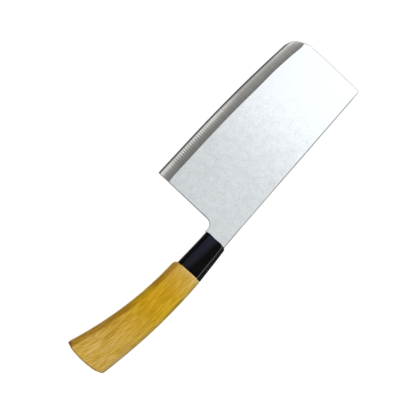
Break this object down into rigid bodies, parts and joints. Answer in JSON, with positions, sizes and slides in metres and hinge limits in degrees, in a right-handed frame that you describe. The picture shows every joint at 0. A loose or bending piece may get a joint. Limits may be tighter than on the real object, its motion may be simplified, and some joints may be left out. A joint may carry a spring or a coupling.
{
  "type": "chinese cleaver",
  "caption": "Broad rectangular kitchen cleaver with a ground edge, a black ferrule and a curved wooden grip, lying flat.",
  "frame": {"origin": "below the middle of the knife's bounding box, on the plane it lies on", "axes": "+X from the butt to the blade's front along the spine, +Y from the spine to the cutting edge, +Z out of the upper blade face"},
  "size_m": [0.317, 0.0824, 0.022],
  "materials": {
    "blade_steel": "satin stainless steel, finely mottled, with a cross-ground bevel",
    "ferrule_plastic": "glossy black moulded plastic",
    "grip_wood": "yellow varnished wood with straight grain",
    "bedding_resin": "cured adhesive, hidden"
  },
  "bodies": {
    "root": {"blade": "blade_steel", "ferrule": "ferrule_plastic", "grip": "grip_wood", "tang_bedding": "bedding_resin"}
  },
  "joints": []
}
